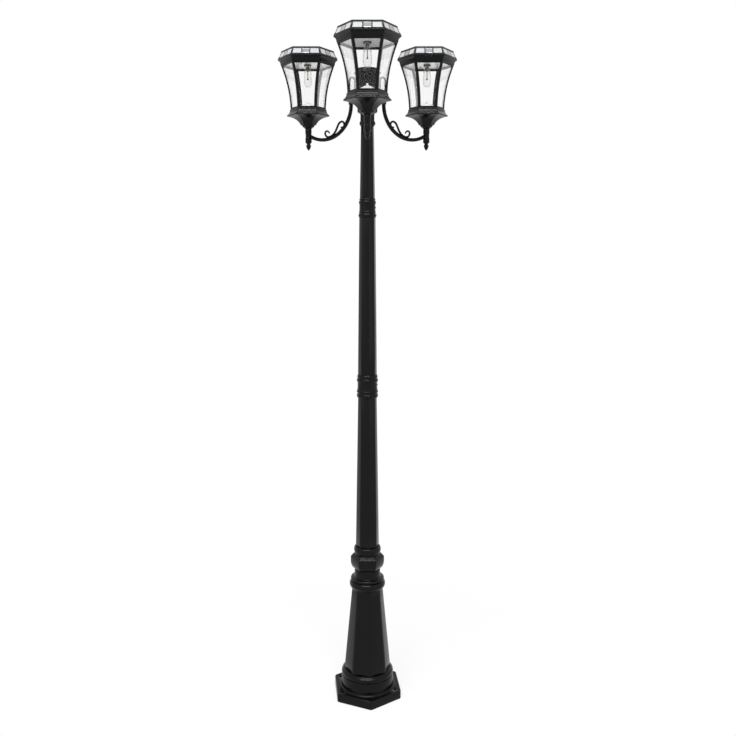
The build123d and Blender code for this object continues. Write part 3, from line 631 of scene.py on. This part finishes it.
def flared_skin(low, high, inset, marks=()):
    """A skin that follows the flare, moved inward by inset, with a row of edges at each mark."""
    rows = {low + (high - low) * step / FLARE_STEPS for step in range(FLARE_STEPS + 1)}
    skin([(flare(height) - inset / APOTHEM, height) for height in sorted(rows | set(marks))])


def off_plane(spot, angle):
    """Distance of a point from the upright plane through the axis at an angle."""
    return abs(spot.y * cos(angle) - spot.x * sin(angle))


def from_corner(spot):
    """Distance of a point from the nearest plane through the axis and two corners."""
    return min(off_plane(spot, angle) for angle in CORNER_PLANES)


def cut(square, away):
    """Cut what is selected by an upright plane, square to a direction, at a distance away."""
    bpy.ops.mesh.bisect(plane_co=tuple(away * part for part in square), plane_no=square)


def cut_along(angles, distances):
    """Cut all faces by planes that run at the angles, at distances from the axis."""
    for angle in angles:
        for away in distances:
            bpy.ops.mesh.select_all(action="SELECT")
            cut((-sin(angle), cos(angle), 0), away)


def cut_beside_corners(leg):
    """Cut all faces a leg's width from their corners. Gives the cuts' distance from_corner."""
    away = leg * sin(SIXTH)
    cut_along(CORNER_PLANES, (-away, away))
    return away


def thicken(wall):
    """Give an open skin a wall, on its inner side."""
    bpy.ops.object.mode_set(mode="OBJECT")
    solid = bpy.context.object.modifiers.new("wall", "SOLIDIFY")
    solid.thickness, solid.offset, solid.use_even_offset = wall, -1, True
    bpy.ops.object.modifier_apply(modifier=solid.name)
    bpy.ops.object.mode_set(mode="EDIT")


flared_skin(0.0, GLASS_TOP, 0, marks=(RAIL, GLASS_TOP - RAIL))
leg_line = cut_beside_corners(POST_LEG)
pick(lambda spot: RAIL < spot.z < GLASS_TOP - RAIL and from_corner(spot) > leg_line + HAIR, faces=True)
bpy.ops.mesh.delete(type="FACE")
thicken(CAGE_WALL)
share_out(finish("lantern_cage", black_coat, edge=SMALL_EDGE), "post", "cage_{}")


# ---- panes --------------------------------------------------------------------------------
# Six bowed panes of clear glass with faint upright streaks, held against the posts from
# inside, a hair off the metal.

PANE_THICK, PANE_GAP, PANE_MARGIN = 0.0016, 0.0001, 0.0012
PANE_FOOT, PANE_TOP = 0.0021, GLASS_TOP - 0.004


def clear_glass(name, tint, streak, gloss):
    """Glass that lets light straight through, with streaks in its tint, and shines at a slant."""
    material, spot = start_finish(name)
    drawn = spot.node("ShaderNodeMapping", inputs={"Vector": spot, "Scale": (1.0, 1.0, 0.08)})
    colour = near_grey(tint + noise(drawn, 120.0, 3.0) * streak - streak * 0.5)
    through = spot.node("ShaderNodeBsdfTransparent", inputs={"Color": colour})
    shine = spot.node("ShaderNodeBsdfGlossy", inputs={"Color": (1, 1, 1, 1), "Roughness": gloss})
    slant = spot.node("ShaderNodeFresnel", inputs={"IOR": 1.45})
    end_finish(spot.node("ShaderNodeMixShader", inputs={0: slant * 0.25, 1: through, 2: shine}))
    return material


flared_skin(PANE_FOOT, PANE_TOP, CAGE_WALL + PANE_GAP)
margin_line = cut_beside_corners(PANE_MARGIN)
pick(lambda spot: from_corner(spot) < margin_line - HAIR, faces=True)
bpy.ops.mesh.delete(type="FACE")
thicken(PANE_THICK)
pane_glass = clear_glass("pane_glass", 0.982, 0.025, 0.03)
share_out(finish("lantern_panes", pane_glass, edge=0.0003), "post", "glass_panes_{}")


# ---- floor reflector ----------------------------------------------------------------------
# A bright pressed plate on the lantern's floor that rises to a low six-sided point with a
# small knob, and throws the light outward.

FLOOR_CORNER = CAGE_FOOT - (CAGE_WALL + PANE_GAP) / APOTHEM
KNOB_SIDES = 24


def bright_plate(name, grey, rough, dents, metal):
    """Bright sheet metal with shallow dents, duller in patches."""
    material, spot = start_finish(name)
    stipple = noise(spot, dents, 3.0)
    patches = noise(spot, dents * 0.22, 2.0)
    shade = stipple * 0.35 + patches * 0.2 + (grey - 0.27)
    end_solid(near_grey(shade, blue=1.01), {
        "Roughness": patches * 0.1 + rough, "Metallic": metal,
        "Normal": bumps(stipple + patches, 0.35, 0.0008)})
    return material


floor_line = [(0.0200, 0.0006), (FLOOR_CORNER - 0.0008, 0.0006), (FLOOR_CORNER, 0.0012),
              (FLOOR_CORNER, 0.0019), (FLOOR_CORNER - 0.0006, 0.0020), (0.0488, 0.0020),
              (0.0484, 0.0023), (0.0020, 0.0238)]
stack(6, floor_line, rounding=0.0004)
knob_line = [(0.0016, 0.0225), (0.0018, 0.0236), (0.0026, 0.0240), (0.0033, 0.0252),
             (0.0033, 0.0264), (0.0026, 0.0275), (0.0010, 0.0279)]
stack(KNOB_SIDES, knob_line)
floor_plate = bright_plate("floor_plate", 0.88, 0.34, 140.0, 0.3)
share_out(finish("lantern_floor", floor_plate, edge=0.0004), "post", "floor_reflector_{}")


# ---- roof frame ---------------------------------------------------------------------------
# The lantern's lid: a cove out to a broad rim, sloping facets with a recess for each solar
# strip, and a flat border round the top cover. One casting that lifts off the cage.

ROOF_SEAT, ROOF_BORE = 0.1424, 0.0835
RIM, RIM_LOW, RIM_TOP = 0.0981, 0.1560, 0.1605
FACET_FOOT, FACET_TOP = (0.0952, 0.1615), (0.0868, 0.1815)
FACET_MIDDLE = (FACET_FOOT[1] + FACET_TOP[1]) / 2
FACET_BAND, FACET_NEAR, FACET_SIDE = 0.003, 0.0765, 0.02      # a facet's centre is within these
BORDER, LEDGE, ROOF_TOP = 0.0812, 0.1825, 0.1855
RECESS_MARGIN, RECESS = 0.0026, 0.0011

roof_line = ([(ROOF_BORE, ROOF_SEAT), (0.0893, ROOF_SEAT)]
             + curve((0.0895, 0.1440), (0.0900, 0.1515), (0.0962, 0.1546), 6)
             + [(0.0976, 0.1552), (RIM, RIM_LOW), (RIM, RIM_TOP), FACET_FOOT, FACET_TOP,
                (0.0868, 0.1845), (0.0857, ROOF_TOP), (BORDER, ROOF_TOP), (BORDER, LEDGE),
                (0.0764, LEDGE), (0.0816, 0.1785), (0.0900, 0.1625), (0.0900, 0.1550),
                (ROOF_BORE, 0.1473)])
stack(6, roof_line, rounding=0.0006, hollow=True)
face_out()
pick(lambda spot: abs(spot.z - FACET_MIDDLE) < FACET_BAND and hypot(spot.x, spot.y) > FACET_NEAR
     and from_corner(spot) > FACET_SIDE, faces=True)
bpy.ops.mesh.inset(thickness=RECESS_MARGIN, depth=-RECESS, use_individual=True)
share_out(finish("lantern_roof", black_coat, edge=SMALL_EDGE), "roof_{}", "roof_frame_{}")


# ---- solar panels -------------------------------------------------------------------------
# A strip of three cells under a clear cover in each facet, parted by two dark bars, and the
# low cover on top with its own square cells, all glued into the roof frame.

STRIP_LOW, STRIP_HIGH, STRIP_SUNK, STRIP_MARGIN = 0.1643, 0.1790, 0.0002, 0.0048
STRIP_THICK, BAR_THICK = 0.0010, 0.0008
BAR_INNER, BAR_OUTER = 0.0112, 0.0144  # a dark bar's sides, as distances from a facet's middle
MIDDLE_MARGIN, MIDDLE_PROUD = 0.0012, 0.0002
FACET_PLANES, FACET_REACH = (0, SIXTH, 2 * SIXTH), 0.068
COVER, COVER_FOOT, COVER_FIELD, COVER_POINT = 0.0806, 0.1826, 0.18485, 0.004
CELL_CUTS = (-0.045, -0.015, 0.015, 0.045)
CELL_MARGIN, CELL_SUNK = 0.0006, 0.0003
FLAT_CREASE = 4.0                     # degrees, so that shallow insets stay flat in the light


def cell_cover(name, grey, rough):
    """Faintly crystalline cells under a glossy clear cover, at a given grey, which on the facet strips
    is lightened as painted reflection.
    """
    material, spot = start_finish(name)
    crystal = spot.node("ShaderNodeTexVoronoi", inputs={"Vector": spot, "Scale": 160.0})
    haze = noise(spot, 35.0, 4.0)
    shade = crystal * 0.12 * grey + haze * 0.3 * grey + 0.75 * grey
    end_solid(near_grey(shade, red=0.97, blue=1.03), {
        "Roughness": haze * 0.08 + rough, "Coat Weight": 0.8, "Coat Roughness": 0.04})
    return material


def from_middle(spot):
    """Distance of a point on a facet from the facet's own middle line."""
    return min(off_plane(spot, turn) for turn in FACET_PLANES
               if abs(spot.x * cos(turn) + spot.y * sin(turn)) > FACET_REACH)


def on_facet(height):
    """The (corner distance, height) pair of the strips' outside at a height."""
    slope = (FACET_TOP[0] - FACET_FOOT[0]) / (FACET_TOP[1] - FACET_FOOT[1])
    return FACET_FOOT[0] + slope * (height - FACET_FOOT[1]) - STRIP_SUNK, height


skin([on_facet(STRIP_LOW), on_facet(STRIP_HIGH)])
side_line = cut_beside_corners(STRIP_MARGIN)
cut_along(FACET_PLANES, (-BAR_OUTER, -BAR_INNER, BAR_INNER, BAR_OUTER))
pick(lambda spot: from_corner(spot) < side_line, faces=True)
bpy.ops.mesh.delete(type="FACE")
pick(lambda spot: BAR_INNER < from_middle(spot) < BAR_OUTER, faces=True)
bpy.ops.mesh.separate(type="SELECTED")
pick(lambda spot: from_middle(spot) < BAR_INNER, faces=True)
bpy.ops.mesh.separate(type="SELECTED")
bpy.ops.object.mode_set(mode="OBJECT")
outer_cells = bpy.context.object
parted = [piece for piece in bpy.context.selected_objects if piece != outer_cells]
middle_cells, bars = sorted(parted, key=lambda piece: len(piece.data.polygons))

# The facet cells' pale and grey are painted reflection: solar cells lightened to stand in for the light
# their covers throw back, the middle ones less. The top cells keep the cells' own dark colour.
cell_painted_reflection = cell_cover("solar_cell_painted_reflection", 0.38, 0.10)
cell_painted_dim_reflection = cell_cover("solar_cell_painted_dim_reflection", 0.19, 0.12)
cell_top = cell_cover("solar_cell_top", 0.035, 0.08)
for piece, name, wall, surface in ((outer_cells, "facet_cells", STRIP_THICK, cell_painted_reflection),
                                   (middle_cells, "facet_middle_cells", STRIP_THICK, cell_painted_dim_reflection),
                                   (bars, "facet_bars", BAR_THICK, black_coat)):
    bpy.ops.object.select_all(action="DESELECT")
    bpy.context.view_layer.objects.active = piece
    piece.select_set(True)
    bpy.ops.object.mode_set(mode="EDIT")
    if piece == middle_cells:
        bpy.ops.mesh.select_all(action="SELECT")
        bpy.ops.mesh.inset(thickness=MIDDLE_MARGIN, depth=MIDDLE_PROUD, use_individual=True)
    thicken(wall)
    flat = finish(name, surface, edge=0, crease=FLAT_CREASE)
    share_out(flat, "roof_{}", "solar_panels_{}")

cover_line = [(0.0600, COVER_FOOT), (COVER, COVER_FOOT), (COVER, 0.1842), (0.0800, 0.1846),
              (0.0780, 0.1848), (0.0020, 0.1914)]
stack(6, cover_line)
for away in CELL_CUTS:
    for square in ((1, 0, 0), (0, 1, 0)):
        pick(lambda spot: spot.z > COVER_FIELD, faces=True)
        cut(square, away)
pick(lambda spot: spot.z > COVER_FIELD and hypot(spot.x, spot.y) > COVER_POINT, faces=True)
bpy.ops.mesh.inset(thickness=CELL_MARGIN, depth=-CELL_SUNK, use_individual=True)
flat = finish("top_cover", cell_top, edge=0, crease=FLAT_CREASE)
share_out(flat, "roof_{}", "solar_panels_{}")


# ---- cap nuts -----------------------------------------------------------------------------
# A small domed nut on the rim at each corner holds the roof down on the cage. The nuts are
# black, and finer in grain than the castings.

NUT_CIRCLE, NUT_SIDES = 0.0925, 20
NUT_BLACK, NUT_GRAIN = 0.012, 1500.0

fine_black = powder_coat("nut_black", NUT_GRAIN, NUT_BLACK)
nut_line = [(0.0036, 0.1586), (0.0037, 0.1600), (0.0037, 0.1632), (0.0033, 0.1648),
            (0.0022, 0.1660), (0.0008, 0.1665)]
for corner in range(6):
    angle = pi / 6 + corner * SIXTH
    stack(NUT_SIDES, nut_line, at=(NUT_CIRCLE * cos(angle), NUT_CIRCLE * sin(angle)))
share_out(finish("cap_nuts", fine_black, edge=0), "roof_{}", "roof_nuts_{}")


# ---- ceiling reflector --------------------------------------------------------------------
# A bright stippled plate across the roof's underside that throws the bulb's light downward.
# It has a round hole for the lamp holder, and the switch reaches down through it.

CEILING_CORNER, CEILING_THICK, HOLDER_HOLE, HOLE_SIDES = 0.0832, 0.0014, 0.012, 48

ring(6, CEILING_CORNER, ROOF_SEAT, filled=False)
ring(HOLE_SIDES, HOLDER_HOLE, ROOF_SEAT, filled=False)
bpy.ops.mesh.select_all(action="SELECT")
bpy.ops.mesh.bridge_edge_loops()
bpy.ops.mesh.select_all(action="SELECT")
bpy.ops.mesh.extrude_region_move(TRANSFORM_OT_translate={"value": (0, 0, CEILING_THICK)})
ceiling_plate = bright_plate("ceiling_plate", 0.90, 0.28, 190.0, 0.4)
ceiling = finish("ceiling_plate", ceiling_plate, edge=0)
share_out(ceiling, "roof_{}", "ceiling_reflector_{}")


# ---- lamp holder --------------------------------------------------------------------------
# The threaded holder above the ceiling with a scalloped crown below it, moulded in black.
# Its flange rests on the ceiling plate.

CROWN_TEETH, CROWN_EDGE, TOOTH = 12, 0.1390, 0.0016
HOLDER, HOLDER_TOP, HOLDER_BORE = 0.0100, 0.1683, 0.0069
FLANGE, FLANGE_LOW = 0.0150, 0.1440


def between(share, first, second):
    """A colour between two, by a share from 0 to 1."""
    factor, start, end, result = 0, 6, 7, 2       # numbers of the Mix node's colour sockets
    inputs = {factor: share, start: (*first, 1), end: (*second, 1)}
    return share.node("ShaderNodeMix", {"data_type": "RGBA"}, inputs, result)


def moulded(name, colour, rough):
    """Moulded plastic with a faint sparkle from the tool and slight clouding."""
    material, spot = start_finish(name)
    clouds = noise(spot, 80.0, 4.0)
    sparkle = noise(spot, 2200.0, 1.0)
    dull = tuple(part * 0.75 for part in colour)
    end_solid(between(clouds, dull, colour), {
        "Roughness": clouds * 0.15 + rough, "Normal": bumps(sparkle, 0.25, 0.0001)})
    return material


holder_black = moulded("holder_black", (0.03, 0.03, 0.032), 0.4)
holder_line = [(0.0102, 0.1386), (0.0119, 0.1372), (0.0119, FLANGE_LOW), (0.0148, FLANGE_LOW),
               (FLANGE, 0.1450), (FLANGE, 0.1480), (HOLDER, 0.1484), (HOLDER, HOLDER_TOP),
               (HOLDER_BORE, HOLDER_TOP), (0.0070, 0.1404)]
stack(2 * CROWN_TEETH, holder_line, hollow=True)
half_tooth = pi / CROWN_TEETH
pick(lambda spot: spot.z < CROWN_EDGE and round(atan2(spot.y, spot.x) / half_tooth) % 2 == 0)
bpy.ops.transform.translate(value=(0, 0, TOOTH))
share_out(finish("lamp_holder", holder_black, edge=0.0003), "roof_{}", "socket_{}")


# ---- bulb cap -----------------------------------------------------------------------------
# The plated screw cap of the bulb, pressed from thin sheet, with its rolled thread and the
# contact at its tip. The glass is cemented into its rim.

THREAD_CREST, THREAD_DEPTH, THREAD_FOOT = 0.0069, 0.0007, 0.1405
HALF_PITCH, THREAD_RINGS = 0.0014, 13
BULB_SIDES = 48


def plated(name, colour, rough):
    """Plated metal with faint smears."""
    material, spot = start_finish(name)
    smear = noise(spot, 260.0, 4.0)
    dark = tuple(part * 0.8 for part in colour)
    end_solid(between(smear, dark, colour), {"Roughness": smear * 0.2 + rough, "Metallic": 1.0})
    return material


thread = [(THREAD_CREST - THREAD_DEPTH * (turn % 2), THREAD_FOOT + HALF_PITCH * turn)
          for turn in range(THREAD_RINGS)]
cap_line = ([(0.0070, 0.1363), (0.0085, 0.1364), (0.0086, 0.1390), (0.0070, 0.1398)] + thread
            + [(0.0060, 0.1590), (0.0040, 0.1612), (0.0038, 0.1622), (0.0024, 0.1628)])
stack(BULB_SIDES, cap_line)
cap_metal = plated("cap_metal", (0.72, 0.70, 0.66), 0.2)
share_out(finish("screw_cap", cap_metal, edge=0), "bulb_cap_{}", "bulb_cap_{}")


# ---- bulb glass ---------------------------------------------------------------------------
# The clear blown envelope of the bulb, widest low down, with a thin wall. Its neck ends in
# the screw cap.

BULB, BOWL_CENTRE, BOWL_STEPS, TIP = 0.0138, 0.0848, 12, 0.0006
GLASS_WALL = 0.0009


def envelope(inset):
    """Half of the bulb's outline, from its tip up to its neck."""
    radius = BULB - inset
    turns = [pi / 2 * step / BOWL_STEPS for step in range(BOWL_STEPS + 1)]
    bowl = [(max(TIP, radius * sin(turn)), BOWL_CENTRE - radius * cos(turn)) for turn in turns]
    return bowl + curve((radius, 0.0900), (0.0137 - inset, 0.1150), (0.0092 - inset, 0.1362), 9)


stack(BULB_SIDES, envelope(0.0) + envelope(GLASS_WALL)[::-1])
bulb_glass = clear_glass("bulb_glass_clear", 0.972, 0.01, 0.02)
share_out(finish("bulb_envelope", bulb_glass, edge=0), "bulb_{}", "bulb_glass_{}")


# ---- light column -------------------------------------------------------------------------
# Inside the bulb: eight amber coated strips round a core that stands on the cap, then a thin
# stem that ends in a bead.

COLUMN_SIDES, LIGHT_SIDES = 24, 6
LIGHT_STRIPS, LIGHT_CIRCLE = 8, 0.0053

led_amber = moulded("led_amber", (0.27, 0.19, 0.10), 0.3)
column_line = [(0.0046, 0.1362), (0.0050, 0.1350), (0.0050, 0.1235), (0.0030, 0.1215),
               (0.0012, 0.1200), (0.0012, 0.1000), (0.0026, 0.0992), (0.0029, 0.0972),
               (0.0024, 0.0952), (0.0008, 0.0945)]
stack(COLUMN_SIDES, column_line)
light_line = [(0.0011, 0.1232), (0.0013, 0.1236), (0.0013, 0.1342), (0.0011, 0.1346)]
for strip in range(LIGHT_STRIPS):
    angle = strip * 2 * pi / LIGHT_STRIPS
    stack(LIGHT_SIDES, light_line, at=(LIGHT_CIRCLE * cos(angle), LIGHT_CIRCLE * sin(angle)))
share_out(finish("light_column", led_amber, edge=0.0002), "bulb_{}", "bulb_leds_{}")


# ---- screws, battery pack and switch ------------------------------------------------------
# Black grub screws and bolts, the two wrapped cells in their tray above the ceiling, and the
# grey slide switch keep their CAD shapes, with finishes of their own.

battery_green = moulded("battery_wrap", (0.08, 0.2, 0.13), 0.35)
switch_grey = moulded("switch_grey", (0.45, 0.45, 0.44), 0.45)
KEPT = {"pole_set_screws": fine_black, "arm_bolts": fine_black, "lamp_set_screws": fine_black,
        "battery_pack": battery_green, "switch": switch_grey}
for name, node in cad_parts.items():
    for kept, material in KEPT.items():
        if name.startswith(kept):
            node.data.materials.clear()
            node.data.materials.append(material)
